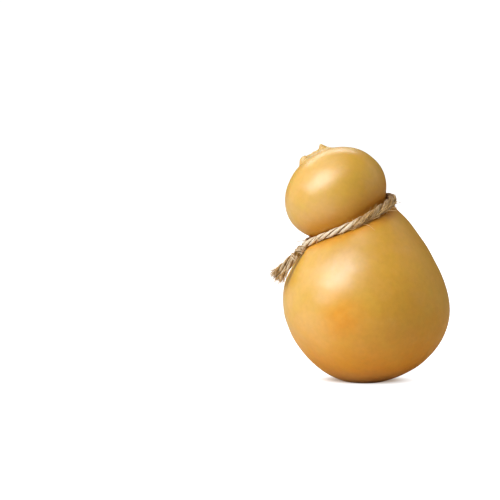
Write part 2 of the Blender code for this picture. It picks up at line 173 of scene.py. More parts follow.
# Lights: azimuth, elevation and roll in degrees, then distance and size in metres.
LIGHTS = {
    "key": (-45.0, 38.0, 23.0, 1.1, (0.70, 1.14)),
    "left": (-112.0, 14.0, 0.0, 1.1, (0.9, 0.9)),
    "sky": (-52.0, 52.0, 0.0, 1.2, (1.9, 1.9)),
    "side": (108.0, 22.0, 0.0, 1.1, (1.2, 1.1)),
    "back": (-163.0, 40.0, 0.0, 1.2, (1.0, 0.27)),
}

# Camera: where it stands, and where the point that it is set on shows in the 500 by 500 picture.
PICTURE = 500
SENSOR, LENS = 36.0, 135.0
CAMERA_DISTANCE, CAMERA_HEIGHT = 0.813, radians(6.0)
SIGHT_HEIGHT = 50.8 * MM
SIGHT_PIXEL = (364.8, 263.3)


# -------- sizes and colours that a user sets

def size_setting(name, description, size):
    """A length that a user sets, with its default in millimetres."""
    return FloatProperty(name=name, description=description, default=size * MM, unit="LENGTH")


def colour_setting(name, description, default):
    """A colour that a user sets."""
    return FloatVectorProperty(name=name, description=description, default=default, subtype="COLOR")


def power_setting(name, description, default):
    """The strength of a light that a user sets."""
    return FloatProperty(name=name, description=description, default=default, min=0.0)


class CheeseSettings(bpy.types.PropertyGroup):
    """Sizes and colours of the cheese."""

    belly_radius: size_setting("Belly radius", "Widest radius of the body", 35.9)
    belly_height: size_setting("Belly height", "Height at which the body is widest", 30.5)
    waist_radius: size_setting("Waist radius", "Radius of the cheese inside the twine", 17.6)
    head_radius: size_setting("Head radius", "Radius of the head across its own axis", 22.65)
    head_half_height: size_setting("Head half height", "Half the height of the head along its axis", 19.1)
    lump_rise: size_setting("Lump rise", "How far the closure's blunt lump stands out", 2.2)
    tip_rise: size_setting("Tip rise", "How far the closure's pointed tip stands out", 3.3)
    sides: IntProperty(name="Sides", description="Points round each section", default=288, min=24)
    skin: colour_setting("Skin", "Golden colour of most of the skin", (0.75, 0.435, 0.055))
    # Smoked is also the redder painted shade to the right and beside the twine.
    smoked: colour_setting("Smoked", "Redder colour low down and in the crease", (0.84, 0.29, 0.014))
    pale: colour_setting("Pale", "Lighter colour of the palest patches", (0.79, 0.48, 0.09))
    # Shaded is also the brown of the painted shade beside the twine, on the shoulder under it and on the
    # right flank.
    shaded: colour_setting("Shaded", "Brown of the mottling and the shaded spots", (0.28, 0.11, 0.01))
    closure: colour_setting("Closure", "Colour of the pinched closure", (0.68, 0.43, 0.11))
    # Foot stands for painted bounce light from the floor, which makes the lowest skin greyer.
    foot: colour_setting("Foot", "Colour of the lowest skin", (0.68, 0.33, 0.12))


class TwineSettings(bpy.types.PropertyGroup):
    """Sizes and colours of the twine."""

    radius: size_setting("Radius", "Radius of the twine where it is thickest", 2.2)
    strands: IntProperty(name="Strands", description="Strands laid together", default=3, min=2, max=6)
    straw: colour_setting("Straw", "Usual colour of the fibres", (0.78, 0.55, 0.30))
    cream: colour_setting("Cream", "Colour of the palest fibres", (1.0, 0.86, 0.64))
    brown: colour_setting("Brown", "Colour of the darkest fibres", (0.24, 0.115, 0.035))
    # Stain and painted shade: the browned lengths lean to this colour.
    stained_and_shaded: colour_setting("Stained", "Colour that the browned lengths lean to", (0.36, 0.19, 0.03))
    dark_hair: colour_setting("Dark hair", "Colour of the darkest hairs", (0.40, 0.20, 0.04))
    pale_hair: colour_setting("Pale hair", "Colour of the palest hairs", (0.90, 0.62, 0.28))


class StageSettings(bpy.types.PropertyGroup):
    """Strengths of the lights."""

    ambient: power_setting("Ambient", "Strength of the light from all around", 0.07)
    key_power: power_setting("Key", "Strength of the large light at the upper left", 3.0)
    sky_power: power_setting("Sky", "Strength of the very large weak light around the key", 0.75)
    left_power: power_setting("Left", "Strength of the broad weak light at the left", 0.5)
    side_power: power_setting("Side", "Strength of the broad weak light at the right", 0.58)
    back_power: power_setting("Back", "Strength of the wide light behind", 3.2)


# -------- small helpers

def full_turn(count):
    """Angles evenly round a full turn."""
    return np.linspace(0.0, 2.0 * pi, count, endpoint=False)


def unit(vectors):
    """Vectors brought to length 1."""
    return vectors / np.linalg.norm(vectors, axis=-1, keepdims=True)


def ease(start, end, value):
    """A smooth step from 0 at start to 1 at end: 3 t^2 - 2 t^3."""
    part = np.clip((value - start) / (end - start), 0.0, 1.0)
    return part * part * (3.0 - 2.0 * part)


def turned(angle, first, second):
    """The direction at an angle from one direction towards another."""
    angle = np.asarray(angle)[..., None]
    return np.cos(angle) * first + np.sin(angle) * second


def across(axis):
    """The directions across an axis: the one nearest to +X, and the one that completes the frame."""
    right = unit(np.array([1.0, 0.0, 0.0]) - axis[..., :1] * axis)
    return right, np.cross(axis, right)


def section_axes(lean, back):
    """The axis of a section that leans left and back, and the section's right and rear directions."""
    axis = unit(np.stack([-np.sin(lean), np.sin(back) * np.cos(lean), np.cos(lean) * np.cos(back)], -1))
    return (axis,) + across(axis)


def neck_frame():
    """The middle of the neck, its axis, and the right and rear directions in the twine's plane."""
    return (np.array(NECK_PLACE),) + section_axes(NECK_LEAN, NECK_BACK)


def head_frame():
    """The middle of the head, its axis, and the right and rear directions at its equator."""
    place, axis, _, _ = neck_frame()
    return (place + HEAD_RISE * axis,) + section_axes(HEAD_LEAN, HEAD_BACK)


def length_along(path):
    """The length of a path up to each of its points."""
    steps = np.linalg.norm(np.diff(path, axis=0), axis=-1)
    return np.concatenate([[0.0], np.cumsum(steps)])


def smooth_rows(rows, passes):
    """Smooth rows of points in place: each inner row becomes (before + 2 * itself + after) / 4."""
    for _ in range(passes):
        rows[1:-1] = (rows[:-2] + 2.0 * rows[1:-1] + rows[2:]) / 4.0


def ripple(first, second, seed, count, first_range, second_range=(0.0, 0.0)):
    """A smooth random height of about -1 to 1 over two parameters: a sum of cosines of whole turns of
    the first and real turns of the second, drawn from two ranges, so that it closes in the first."""
    draw = np.random.default_rng(seed)
    total = 0.0
    for _ in range(count):
        turns = draw.integers(first_range[0], first_range[1] + 1)
        waves = draw.uniform(*second_range)
        total = total + np.cos(turns * first + waves * second + draw.uniform(0.0, 2.0 * pi))
    return total / count ** 0.5


def grid_faces(rows, columns, closed_rows=False):
    """Quads of a grid of points whose columns close on themselves, and its rows too if asked."""
    row = np.arange(rows if closed_rows else rows - 1)[:, None]
    column = np.arange(columns)
    after, beside = (row + 1) % rows, (column + 1) % columns
    corners = ((row, column), (row, beside), (after, beside), (after, column))
    points = [np.broadcast_to(down * columns + along, (len(row), columns)) for down, along in corners]
    return np.stack(points, -1).reshape(-1, 4)


def end_faces(middles, rings, columns):
    """Triangles that close tubes, from points amid their starts and points amid their ends to their
    first and last rings, given by the rings' first indices."""
    fans = []
    for middle, ring, order in zip(middles, rings, (-1, 1)):
        here = np.asarray(ring)[..., None] + np.arange(columns)
        there = np.asarray(ring)[..., None] + (np.arange(columns) + 1) % columns
        middle = np.broadcast_to(np.asarray(middle)[..., None], here.shape)
        fans.append(np.stack([middle, *(here, there)[::order]], -1).reshape(-1, 3))
    return np.concatenate(fans)


def add_object(name, data):
    """A new object in the scene."""
    made = bpy.data.objects.new(name, data)
    bpy.context.scene.collection.objects.link(made)
    return made


def add_piece(name, points, quads, triangles, values, finish, body, slot_name):
    """A new smooth mesh from arrays of points, quads and triangles, riding on a body of the frame, with
    named values at its points that its finish reads."""
    mesh = bpy.data.meshes.new(name)
    loops = np.concatenate([quads.reshape(-1), triangles.reshape(-1)]).astype(np.int32)
    totals = np.repeat([4, 3], [len(quads), len(triangles)])
    mesh.vertices.add(len(points))
    mesh.vertices.foreach_set("co", points.astype(np.float32).reshape(-1))
    mesh.loops.add(len(loops))
    mesh.loops.foreach_set("vertex_index", loops)
    mesh.polygons.add(len(totals))
    mesh.polygons.foreach_set("loop_start", (np.cumsum(totals) - totals).astype(np.int32))
    mesh.update(calc_edges=True)
    if mesh.validate():
        raise RuntimeError(f"the mesh of {name} had to be repaired")
    mesh.shade_smooth()
    for value_name, numbers in values.items():
        attribute = mesh.attributes.new(value_name, "FLOAT", "POINT")
        attribute.data.foreach_set("value", np.asarray(numbers, np.float32).reshape(-1))
    mesh.materials.append(finish)
    piece = add_object(name, mesh)
    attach(piece, body)
    return piece


# -------- the cheese

def circles(angles, centres, radii, right, rear):
    """Rows of points on circles: centre + radius * (cos angle * right + sin angle * rear)."""
    return centres[:, None] + radii[:, None, None] * turned(angles, right[:, None], rear[:, None])


def body_surface(angles, cheese, count=240):
    """The body from the flat spot to the shoulder.

    Below the belly the radius is R * sqrt(1 - t**p), with t the drop below the belly as a part of the
    drop that would close the form.  Above it the radius narrows with a power of the height, while the
    sections' centres sway left and their axes lean left.
    """
    even = np.linspace(0.0, 1.0, count)
    part = SHOULDER_END * (even + 0.5 - 0.5 * np.cos(pi * even)) / 2.0
    height = part * NECK_PLACE[2]
    below = np.clip(1.0 - height / cheese.belly_height, 0.0, 1.0)
    drop = (1.0 - (FOOT_RADIUS / cheese.belly_radius) ** 2) ** (1.0 / LOW_FULLNESS) * below
    climb = np.clip((height - cheese.belly_height) / (NECK_PLACE[2] - cheese.belly_height), 0.0, 1.0)
    radius = cheese.belly_radius * np.sqrt(1.0 - drop ** LOW_FULLNESS)
    radius -= (cheese.belly_radius - SHOULDER_RADIUS) * climb ** SHOULDER_POWER
    shift = BELLY_SHIFT * (1.0 - below ** 4) - SHOULDER_SWAY * ease(SWAY_FROM, SWAY_TO, part)
    _, right, rear = section_axes(NECK_LEAN * part ** LEAN_POWER, NECK_BACK * part ** 2)
    return circles(angles, np.stack([shift, 0.0 * shift, height], -1), radius, right, rear)


def angle_from(direction, side):
    """The angle from a side to a direction, between half a turn back and half a turn on."""
    return (direction - side + pi) % (2.0 * pi) - pi


def twine_form(direction, twine):
    """The loop in a direction round the neck: its radius, its height above the neck's plane, and the
    angle from the knot."""
    from_knot = np.abs(angle_from(direction, KNOT_SIDE))
    radius = twine.radius * (LOOP_NARROWING + (1.0 - LOOP_NARROWING) * ease(0.0, NARROWING_SPAN, from_knot))
    near_knot = np.clip(np.hypot(from_knot, TIP_ROUNDING) / LIFT_SPAN, 0.0, 1.0)
    lift = LOOP_LIFT * np.sin(pi * np.sqrt(near_knot))
    lift += REAR_RISE * np.exp(-(angle_from(direction, REAR_RISE_SIDE) / REAR_RISE_SPREAD) ** 2)
    lift -= FRONT_DROP * np.exp(-(angle_from(direction, FRONT_DROP_SIDE) / FRONT_DROP_SPREAD) ** 2)
    return radius, lift, from_knot


def groove_surface(angles, cheese, twine, count=14):
    """The neck: the inner side of a ring-shaped channel that holds the twine.

    A point's distance from the neck's axis is waist + r * (1 - cos turn) and its height is r * sin turn,
    with r the twine's radius and a gap, and turn going over the groove's arc.
    """
    place, axis, right, rear = neck_frame()
    radius, lift, _ = twine_form(angles, twine)
    turn = np.linspace(*GROOVE_ARC, count)[:, None]
    reach = cheese.waist_radius + (radius + GAP) * (1.0 - np.cos(turn))
    height = lift + (radius + GAP) * np.sin(turn)
    return place + reach[..., None] * turned(angles, right, rear) + height[..., None] * axis


def head_surface(angles, cheese, count=130):
    """The head: sections of a flattened ball, radius R * cos rise at height H * sin rise, the lowest
    still turned the way the neck is, and closer together towards the pole."""
    neck_axis = neck_frame()[1]
    middle, head_axis, _, _ = head_frame()
    even = np.linspace(0.0, 1.0, count)
    rise = HEAD_START + (pi / 2.0 - HEAD_START) * (1.6 * even - 0.6 * even ** 2)
    share = ease(HEAD_START, HEAD_START + HEAD_TURN, rise)[:, None]
    axis = unit(neck_axis + (head_axis - neck_axis) * share)
    centres = middle + cheese.head_half_height * np.sin(rise)[:, None] * axis
    return circles(angles, centres, cheese.head_radius * np.cos(rise), *across(axis))


def between(first, last, count, bulge=0.0):
    """Rows that lead from one row to another, both left out, raised in between along the neck."""
    share = np.linspace(0.0, 1.0, count + 2)[1:-1, None, None]
    span = np.linalg.norm(last - first, axis=-1, keepdims=True)
    return first + (last - first) * share + bulge * span * np.sin(pi * share) * neck_frame()[1]


def crest_height(right, rear, cheese):
    """How far the pinched closure stands out, from the distance right of the pole and behind it.

    A flat-topped mound, a pointed one and a folded ring-shaped lip are added as cubes under a cube
    root, so that they blend.  Folds run out from them, and the middle is a dimple.
    """
    lump, tip = (np.hypot((right - place[0]) / size[0], (rear - place[1]) / size[1])
                 for place, size in ((LUMP_PLACE, LUMP_SIZE), (TIP_PLACE, TIP_SIZE)))
    away = np.hypot(right, rear)
    bearing = np.arctan2(rear, right)
    beside = (np.hypot(right / LIP_SIZE[0], rear / LIP_SIZE[1]) - 1.0) * LIP_SIZE[1]
    behind = LIP_FRONT + (1.0 - LIP_FRONT) * ease(-0.5, 0.5, np.sin(bearing))
    folded = 1.0 - LIP_CRIMP * np.cos(LIP_FOLDS * bearing)
    lip = LIP_RISE * behind * folded * np.exp(-(beside / LIP_WIDTH) ** 2)
    mounds = (cheese.lump_rise * np.exp(-lump ** 4)) ** 3 + (cheese.tip_rise * np.exp(-tip ** 1.5)) ** 3
    skirt = np.exp(-((away - 0.75 * FOLD_REACH) / (0.25 * FOLD_REACH)) ** 2)
    folds = FOLD_DEPTH * behind * skirt * np.cos(LIP_FOLDS * bearing + 1.0)
    dimple = DIMPLE_DEPTH * np.exp(-(away / DIMPLE_RADIUS) ** 2)
    return np.cbrt(mounds + lip ** 3) + folds - dimple


def add_crest(points, cheese):
    """Raise the points round the head's pole along its axis, by the height of the closure there."""
    middle, axis, right, rear = head_frame()
    offset = points - middle
    above = ease(0.6 * cheese.head_half_height, 0.8 * cheese.head_half_height, offset @ axis)
    return points + (above * crest_height(offset @ right, offset @ rear, cheese))[..., None] * axis


def press_in(points, path, radii):
    """Push points that lie too close to the twine away from it, with a soft edge to the dent."""
    for place, radius in zip(path, radii):
        offset = points - place
        distance = np.linalg.norm(offset, axis=-1)
        least = radius + PRESSED_GAP
        pushed = 0.5 * (distance + least + np.sqrt((distance - least) ** 2 + DENT_SOFTNESS ** 2))
        fade = ease(least + 2.0 * DENT_SOFTNESS, least, distance)
        points = points + offset * ((pushed / distance - 1.0) * fade)[..., None]
    return points


def add_dents(points, angles):
    """Push the rows in and out a little, away from their middles: the dents' depth times a smooth random
    height over the angle and over the length along the rows.  An oval spot on the head is flatter."""
    outwards = points - points.mean(1, keepdims=True)
    reach = np.linalg.norm(outwards, axis=-1)
    along = length_along(points[:, 0])[:, None]
    height = ripple(angles, along, 31, 9, (1, 7), (60.0, 260.0))
    height = height + 0.5 * ripple(angles, along, 32, 9, (6, 16), (200.0, 520.0))
    fade = ease(0.0, 20.0 * MM, reach) * ease(0.0, 6.0 * MM, along)
    offset = points - FLAT_PLACE
    rising = (offset[..., 0] + offset[..., 2]) / 2.0 ** 0.5
    flat = np.exp(-((offset ** 2).sum(-1) + FLAT_NARROWING * rising ** 2) / FLAT_REACH ** 2)
    moved = DENT_DEPTH * fade * height - FLAT_DEPTH * flat
    return points + (moved / np.maximum(reach, MM))[..., None] * outwards


def twine_nearness(points, cheese, twine):
    """How near each point is to the twine: 1 in the groove, fading to 0 some millimetres away, twice as
    far up the head as down the shoulder."""
    place, axis, right, rear = neck_frame()
    rightwards, backwards, above = ((points - place) @ along for along in (right, rear, axis))
    radius, lift, _ = twine_form(np.arctan2(backwards, rightwards), twine)
    reach = np.hypot(backwards, rightwards) - (cheese.waist_radius + GAP + radius)
    above = above - lift
    away = np.hypot(reach, above) - radius
    return 1.0 - ease(0.0, 1.0, away / (7.0 * MM + 8.0 * MM * ease(-2.0 * MM, 2.0 * MM, above)))


def cheese_surface(angles, cheese, twine):
    """All the rows of the cheese from the flat spot to the pole: body, groove and head, led into one
    another and smoothed along the rows, with the closure raised and the knot pressed in."""
    body = body_surface(angles, cheese)
    smooth_rows(body, BODY_SMOOTHING)
    groove = groove_surface(angles, cheese, twine)
    head = head_surface(angles, cheese)
    lower_join = between(body[-1], groove[0], LOWER_JOIN_ROWS, SHOULDER_BULGE)
    upper_join = between(groove[-1], head[0], UPPER_JOIN_ROWS)
    points = np.concatenate([body, lower_join, groove, upper_join, head])
    smooth_rows(points, JOIN_SMOOTHING)
    points = add_dents(add_crest(points, cheese), angles)
    points = np.concatenate([points[:THINNED_ROWS:2], points[THINNED_ROWS:]])
    for path, radii in (*tail_paths(PRESS_POINTS), *wrap_paths(PRESS_POINTS)):
        points = press_in(points, path, radii)
    points[0, :, 2] = 0.0
    return points


def make_cheese(cheese, twine):
    """The cheese as one closed surface on a grid of rows and angles, with a flat foot and a pole."""
    angles = full_turn(cheese.sides)
    rows = cheese_surface(angles, cheese, twine)
    pole = rows[-1].mean(0)
    rows = rows[:-1]
    count = len(rows) * cheese.sides
    points = np.concatenate([rows.reshape(-1, 3), [[0.0, 0.0, 0.0]], [pole]])
    triangles = end_faces((count, count + 1), (0, count - cheese.sides), cheese.sides)
    values = {"near_twine": twine_nearness(points, cheese, twine)}
    piece = add_piece("scamorza_cheese", points, grid_faces(len(rows), cheese.sides), triangles, values,
                      skin_finish(cheese), "root", "smoked_skin")
    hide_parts("cheese")


# -------- the twine

def loop_path(count, cheese, twine):
    """The loop's middle line and its radius: a circle round the neck, drawn out to a tip at the knot
    along the circle's tangents."""
    place, axis, right, rear = neck_frame()
    direction = KNOT_SIDE + full_turn(count)
    radii, lift, from_knot = twine_form(direction, twine)
    ring_radii = cheese.waist_radius + GAP + radii
    parting = acos(ring_radii[0] / KNOT_REACH)
    reach = ring_radii / np.cos(np.maximum(0.0, parting - np.hypot(from_knot, TIP_ROUNDING)))
    return place + reach[:, None] * turned(direction, right, rear) + lift[:, None] * axis, radii


def smooth_through(points, count):
    """Rows of a Catmull-Rom curve through the given rows."""
    rows = np.vstack([2.0 * points[0] - points[1], points, 2.0 * points[-1] - points[-2]])
    where = np.linspace(0.0, len(points) - 1.0, count)
    start = np.minimum(where.astype(int), len(points) - 2)
    part = (where - start)[:, None]
    before, here, there, after = (rows[start + step] for step in range(4))
    slope, end_slope = (there - before) / 2.0, (after - here) / 2.0
    bend = 3.0 * (there - here) - 2.0 * slope - end_slope
    twist = 2.0 * (here - there) + slope + end_slope
    return here + part * (slope + part * (bend + part * twist))


def tail_paths(count):
    """The middle lines and radii of both tails, from stops given outwards, forwards and upwards."""
    place, axis, right, rear = neck_frame()
    ways = np.stack([turned(KNOT_SIDE, right, rear), turned(KNOT_SIDE, rear, -right), axis])
    tails = [smooth_through(MM * np.array(stops), count) for stops in (LOWER_TAIL, UPPER_TAIL)]
    return [(place + rows[:, :3] @ ways, rows[:, 3]) for rows in tails]


def wrap_paths(count):
    """The wraps of the knot: ellipses round both tails, slanted to them, at places along them."""
    fine = 40
    (lower, _), (upper, _) = tail_paths(fine + 1)
    turn = full_turn(count)
    wraps = []
    for place, slant, half_width in zip(WRAP_PLACES, WRAP_SLANTS, WRAP_WIDTHS):
        station = round(place * fine)
        middle = (lower[station] + upper[station]) / 2.0
        along = unit((lower + upper)[station + 1] - (lower + upper)[station - 1])
        wide = upper[station] - lower[station]
        wide = unit(wide - (wide @ along) * along)
        tilted, deep = turned(slant, wide, along), np.cross(along, wide)
        path = middle + turned(turn, half_width * tilted, WRAP_DEPTH * deep)
        wraps.append((path, np.full(count, WRAP_RADIUS)))
    return wraps


def directions(path, closed):
    """The direction along a path at each of its points."""
    if closed:
        return unit(np.roll(path, -1, 0) - np.roll(path, 1, 0))
    return unit(np.gradient(path, axis=0))


def path_frames(path, closed, upwards):
    """Directions along a path and across it, the first across lying nearest to a given direction."""
    along = directions(path, closed)
    first = unit(upwards - (along @ upwards)[:, None] * along)
    return along, first, np.cross(along, first)


def strand_surface(path, radii, sides, closed, upwards, turns, phase, seed):
    """One strand of the twine as a grid of points, and each point's place along and round the strand and
    its distance from the twine's middle, as part of the twine's radius.

    The strand's middle runs round the twine's path on a left-handed helix.  Its radius is
    r * (1 + slubs + coarse ridges + fine ridges), and the ridges turn round it the other way.
    """
    _, first, second = path_frames(path, closed, upwards)
    covered = length_along(path)
    whole = covered[-1] + (np.linalg.norm(path[0] - path[-1]) if closed else 0.0)
    progress = covered / whole
    outwards = turned(phase - 2.0 * pi * turns * progress, first, second)
    middle = path + (STRAND_OFFSET * radii)[:, None] * outwards
    along = directions(middle, closed)
    outwards = unit(outwards - (outwards * along).sum(-1, keepdims=True) * along)
    sideways = np.cross(along, outwards)
    angle = full_turn(sides)
    fibre_turns = round(whole / FIBRE_LAY) if closed else whole / FIBRE_LAY
    lay = angle + 2.0 * pi * fibre_turns * progress[:, None]
    drift = 2.0 * pi * progress[:, None]
    slubs = ripple(drift, 0.0, seed, 5, (2, 12))
    coarse = ripple(lay, drift, seed + 1, 5, (3, 6))
    coarse = coarse + 0.6 * ripple(drift, lay, seed + 2, 5, (5, 14))
    fine = ripple(lay, drift, seed + 3, 7, (7, 13))
    swell = 1.0 + SLUBS * slubs + COARSE_RIDGES * coarse + FINE_RIDGES * fine
    radius = (STRAND_SHARE * radii)[:, None] * swell
    points = (middle[:, None] + (radius * np.cos(angle))[..., None] * outwards[:, None]
              + (STRAND_WIDENING * radius * np.sin(angle))[..., None] * sideways[:, None])
    depth = np.linalg.norm(points - path[:, None], axis=-1) / radii[:, None]
    return points, np.stack([np.broadcast_to(covered[:, None], lay.shape), lay, depth], -1)


def make_strands(name, runs, finish, twine):
    """Runs of twine as one piece.  Each run is a path, radii, how many points it has round each strand,
    whether it closes, an upward direction, the turns of its strands and how brown it is along its
    length, from stain and painted shade.  Each strand becomes a closed tube."""
    points, quads, triangles, places = [], [], [np.zeros((0, 3), int)], []
    total = 0
    for number, (path, radii, sides, closed, upwards, turns, stain_and_shade) in enumerate(runs):
        for strand in range(twine.strands):
            phase = 2.0 * pi * strand / twine.strands + 0.7 * number
            seed = 100 * number + 10 * strand
            grid, where = strand_surface(path, radii, sides, closed, upwards, turns, phase, seed)
            rows = len(grid)
            where = np.concatenate([where, np.broadcast_to(stain_and_shade[:, None, None], (rows, sides, 1))], -1)
            points.append(grid.reshape(-1, 3))
            places.append(where.reshape(-1, 4))
            quads.append(total + grid_faces(rows, sides, closed))
            total += rows * sides
            if not closed:
                points.append(grid[[0, -1]].mean(1))
                places.append(where[[0, -1], 0])
                triangles.append(end_faces((total, total + 1), (total - rows * sides, total - sides), sides))
                total += 2
    values = dict(zip(STRAND_VALUES, np.concatenate(places).T))
    return add_piece(name, np.concatenate(points), np.concatenate(quads), np.concatenate(triangles), values,
                     finish, "root", "natural_twine")


def make_twine(cheese, twine):
    """The loop with the knot and the tails, strand by strand."""
    finish = twine_finish(twine)
    loop, loop_radii = loop_path(LOOP_POINTS, cheese, twine)
    share = np.linspace(0.0, 1.0, len(loop), endpoint=False)
    # Stain and painted shade brown the loop from the front round the right side to the back.
    stain_and_shade = ease(*STAIN_AND_SHADE_RISE, share) - 0.4 * ease(*FADING, share)
    runs = [(loop, loop_radii, LOOP_SIDES, True, neck_frame()[1], LOOP_TURNS, stain_and_shade)]
    piece = make_strands("scamorza_twine_loop", runs, finish, twine)
    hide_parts("twine")
    share = np.linspace(0.0, 1.0, TAIL_POINTS)
    pinch = np.exp(-((share - PINCH_PLACE) / PINCH_LENGTH) ** 2)
    # Painted shadow darkens the tails where the wraps pinch them.
    narrowing, stain_and_shade = 1.0 - PINCH_DEPTH * pinch, 0.6 + 2.0 * pinch
    runs = [(path, radii * narrowing, TAIL_SIDES, False, FORWARDS, TAIL_TURNS, stain_and_shade)
            for path, radii in tail_paths(TAIL_POINTS)]
    lower, _ = tail_paths(3)[0]
    tail_along = unit(lower[2] - lower[0])
    stain_and_shade = np.full(WRAP_POINTS, 0.5)
    runs += [(path, radii, WRAP_SIDES, True, tail_along, WRAP_TURNS, stain_and_shade)
             for path, radii in wrap_paths(WRAP_POINTS)]
    make_strands("scamorza_twine_knot", runs, finish, twine)


def hair_surface(roots, ways, curls, lengths, radii):
    """Hairs as thin closed tubes.  A hair's middle line is root + length * (t * way + t^2 * curl), and
    its radius narrows as 1 - t^2 / 2 to a point."""
    share = np.linspace(0.0, 1.0, HAIR_STATIONS)[:, None]
    bent = share * ways[:, None] + share ** 2 * curls[:, None]
    line = roots[:, None] + lengths[:, None, None] * bent
    along = unit(ways[:, None] + 2.0 * share * curls[:, None])
    first = unit(np.cross(along, np.array([0.3, 0.5, 0.81])))
    second = np.cross(along, first)
    thin = radii[:, None, None] * (1.0 - 0.5 * share ** 2)
    ring = turned(full_turn(HAIR_SIDES), first[:, :, None], second[:, :, None])
    points = line[:, :, None] + thin[..., None] * ring
    numbers = np.arange(len(roots))
    starts = numbers * HAIR_POINTS
    quads = grid_faces(HAIR_STATIONS, HAIR_SIDES) + starts[:, None, None]
    middles = len(roots) * HAIR_POINTS + numbers
    rings = starts, starts + HAIR_POINTS - HAIR_SIDES
    triangles = end_faces((middles, middles + len(roots)), rings, HAIR_SIDES)
    tips = line[:, -1] + (radii * 2.0)[:, None] * along[:, -1]
    return np.concatenate([points.reshape(-1, 3), roots, tips]), quads.reshape(-1, 4), triangles


def hairiness(share):
    """How hairy the loop is at a part of its length from the knot: hardly beside the knot and at its
    right end, most in front, and less behind."""
    worn = 0.3 + ease(0.15, 0.22, share) * (1.0 - 0.8 * ease(0.40, 0.46, share))
    beside_knot = ease(0.03, 0.08, np.minimum(share, 1.0 - share))
    return worn * (beside_knot * (1.0 - 0.9 * ease(0.40, 0.43, share) * ease(0.54, 0.5, share)))


def loop_hairs(draw, count, spread, thickest, cheese, twine):
    """Roots, ways, curls, lengths and radii of hairs on the loop, which stray from its strands with
    the spread and have radii up to the thickest."""
    path, radii = loop_path(LOOP_ROOTS, cheese, twine)
    along, first, second = path_frames(path, True, neck_frame()[1])
    worn = hairiness(np.linspace(0.0, 1.0, len(path), endpoint=False))
    at = draw.choice(len(path), count, p=worn / worn.sum())
    side = draw.normal(0.85 * pi, 0.7, count)
    outwards = turned(side, first[at], second[at])
    roots = path[at] + (radii[at] * draw.uniform(0.75, 0.98, count))[:, None] * outwards
    sense = draw.choice([-1.0, 1.0], count)[:, None]
    around = turned(side, second[at], -first[at])
    ways = unit(sense * (along[at] - STRAND_SLOPE * around)
                + spread * draw.uniform(0.0, 0.3, count)[:, None] * outwards
                + spread * draw.normal(0.0, 0.22, (count, 3)))
    curls = spread * draw.normal(0.0, 0.45, (count, 3)) - 0.1 * outwards
    lengths = draw.gamma(3.0, 0.8 * MM, count) + 1.0 * MM
    return roots, ways, curls, lengths, draw.uniform(0.45, 1.0, count) * thickest


def tail_hairs(draw, count, path, tail_radii):
    """Roots, ways, curls, lengths and radii of the loose fibres that a frayed end fans out into."""
    along, first, second = path_frames(path, False, FORWARDS)
    at = draw.integers(*FRAYED_ROOTS, count)
    outwards = turned(draw.uniform(0.0, 2.0 * pi, count), first[at], second[at])
    roots = path[at] + (tail_radii[at] * draw.uniform(0.2, 0.95, count))[:, None] * outwards
    ways = unit(along[at] + draw.uniform(0.0, 0.35, count)[:, None] * outwards
                + draw.normal(0.0, 0.12, (count, 3)))
    curls = draw.normal(0.0, 0.18, (count, 3))
    lengths = np.linalg.norm(path[-1] - path[at], axis=-1) + draw.uniform(-0.3, 1.3, count) * MM
    return roots, ways, curls, np.maximum(lengths, 0.8 * MM), draw.uniform(0.05, 0.12, count) * MM


def make_fibres(cheese, twine):
    """Stray hairs along the loop and the loose fibres at both frayed ends, as one piece."""
    draw = np.random.default_rng(3)
    sets = [loop_hairs(draw, *kind, cheese, twine) for kind in LOOP_HAIRS]
    sets += [tail_hairs(draw, TAIL_HAIRS, *tail) for tail in tail_paths(TAIL_ROOTS)]
    hairs = [np.concatenate(part) for part in zip(*sets)]
    radii = hairs[-1]
    tones = np.clip(draw.uniform(-0.3, 0.7, len(radii)) + radii / (0.3 * MM), 0.0, 1.0)
    values = {"tone": np.concatenate([np.repeat(tones, HAIR_POINTS), tones, tones])}
    add_piece("scamorza_twine_fibres", *hair_surface(*hairs), values, hair_finish(twine), "root",
              "natural_twine")


# -------- finishes

class Socket:
    """An output of a node.  Arithmetic on it adds Math nodes."""

    def __init__(self, finish, socket):
        self.finish = finish
        self.socket = socket

    def maths(self, operation, *values):
        return self.finish.node("ShaderNodeMath", dict(enumerate(values)), operation=operation)

    def __add__(self, other):
        return self.maths("ADD", self, other)

    def __radd__(self, other):
        return self.maths("ADD", other, self)

    def __sub__(self, other):
        return self.maths("SUBTRACT", self, other)

    def __rsub__(self, other):
        return self.maths("SUBTRACT", other, self)

    def __mul__(self, other):
        return self.maths("MULTIPLY", self, other)

    def __rmul__(self, other):
        return self.maths("MULTIPLY", other, self)


